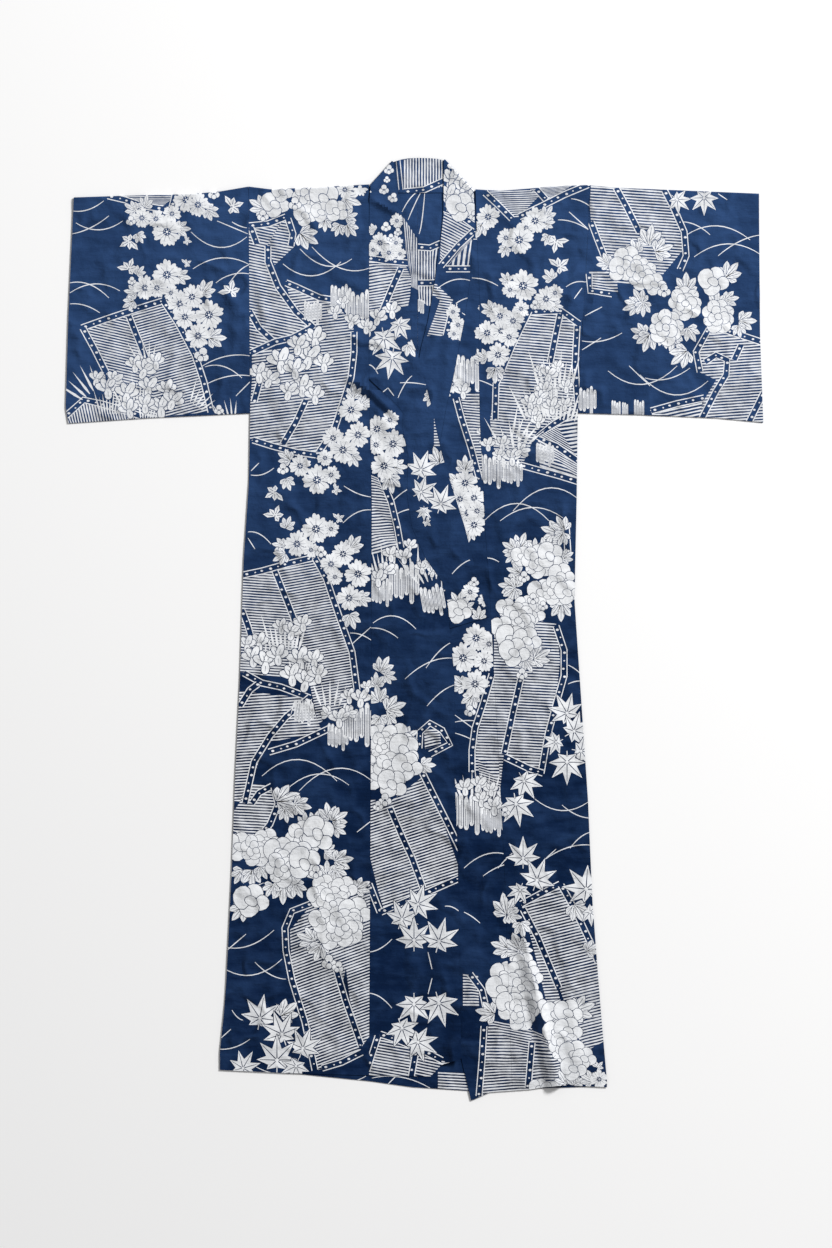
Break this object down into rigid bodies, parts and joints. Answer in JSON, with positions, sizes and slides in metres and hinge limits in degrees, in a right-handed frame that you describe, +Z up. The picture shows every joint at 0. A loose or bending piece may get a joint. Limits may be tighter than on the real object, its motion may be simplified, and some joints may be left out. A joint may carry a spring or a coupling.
{
  "type": "cotton yukata robe",
  "caption": "Woman's cotton yukata robe laid flat, front up: wide square sleeves, crossed overlap fronts and a long collar band, indigo with white flowers and striped screens.",
  "frame": {"origin": "bottom centre of the laid garment's outline, on the surface that it lies on", "axes": "+Z up out of the surface, +Y from the hem towards the collar, +X towards the wearer's left sleeve"},
  "size_m": [1.2898, 1.7426, 0.0181],
  "materials": {
    "yukata_cotton": "matte plain-weave cotton, dyed indigo with off-white flowers, leaves and striped screens left undyed",
    "collar_cotton": "the same matte printed cotton, doubled and pressed flat"
  },
  "bodies": {
    "root": {"right_body": "yukata_cotton", "left_body": "yukata_cotton", "right_sleeve": "yukata_cotton", "left_sleeve": "yukata_cotton", "right_okumi": "yukata_cotton", "left_okumi": "yukata_cotton", "collar": "collar_cotton"}
  },
  "joints": []
}
